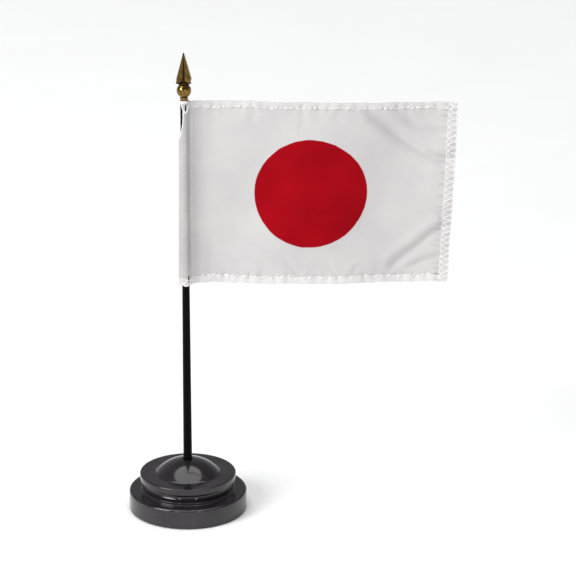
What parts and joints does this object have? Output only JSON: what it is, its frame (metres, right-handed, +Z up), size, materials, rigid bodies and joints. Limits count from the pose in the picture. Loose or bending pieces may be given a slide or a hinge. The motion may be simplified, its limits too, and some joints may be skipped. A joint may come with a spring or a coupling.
{
  "type": "desk flag stand",
  "caption": "Small cloth flag with a sewn sleeve on a tapered rod with a gilt spear head, standing in a round stepped base with a domed top.",
  "frame": {"origin": "middle of the felt pad's underside, on the axis of the rod and the round base", "axes": "+Z up along the rod, +X from the rod towards the flag's fly edge, -Y towards whoever looks at the flag's face"},
  "size_m": [0.1746, 0.0636, 0.2566],
  "materials": {
    "black_gloss_plastic": "high gloss moulded black, faint warm cast",
    "black_rod_plastic": "satin moulded black",
    "gilt_plastic": "metallised gold, polished on the ball and duller on the spear",
    "white_flag_cloth": "plain woven white polyester with a printed red disc on the middle of both faces",
    "white_thread": "twisted white polyester sewing thread",
    "dark_plate_plastic": "matt moulded dark grey",
    "black_felt": "pressed black felt",
    "cast_iron_weight": "as cast, unpainted"
  },
  "bodies": {
    "base": {"felt_pad": "black_felt", "bottom_plate": "dark_plate_plastic", "ballast_ring": "cast_iron_weight", "lower_tier": "black_gloss_plastic", "domed_cap": "black_gloss_plastic"},
    "rod": {"rod": "black_rod_plastic", "spear_head": "gilt_plastic"},
    "flag": {"flag_cloth": "white_flag_cloth", "sleeve_seam_thread": "white_thread", "top_hem_thread": "white_thread", "bottom_hem_thread": "white_thread", "fly_hem_thread": "white_thread", "top_tack": "white_thread", "bottom_tack": "white_thread"}
  },
  "joints": [
    {"name": "rod_lift", "type": "slide", "parent": "base", "child": "rod", "axis": [0, 0, 1], "range_m": [0, 0.03]},
    {"name": "flag_turn", "type": "hinge", "parent": "rod", "child": "flag", "pos_m": [0, 0, 0.1791], "axis": [0, 0, 1], "continuous": true}
  ]
}
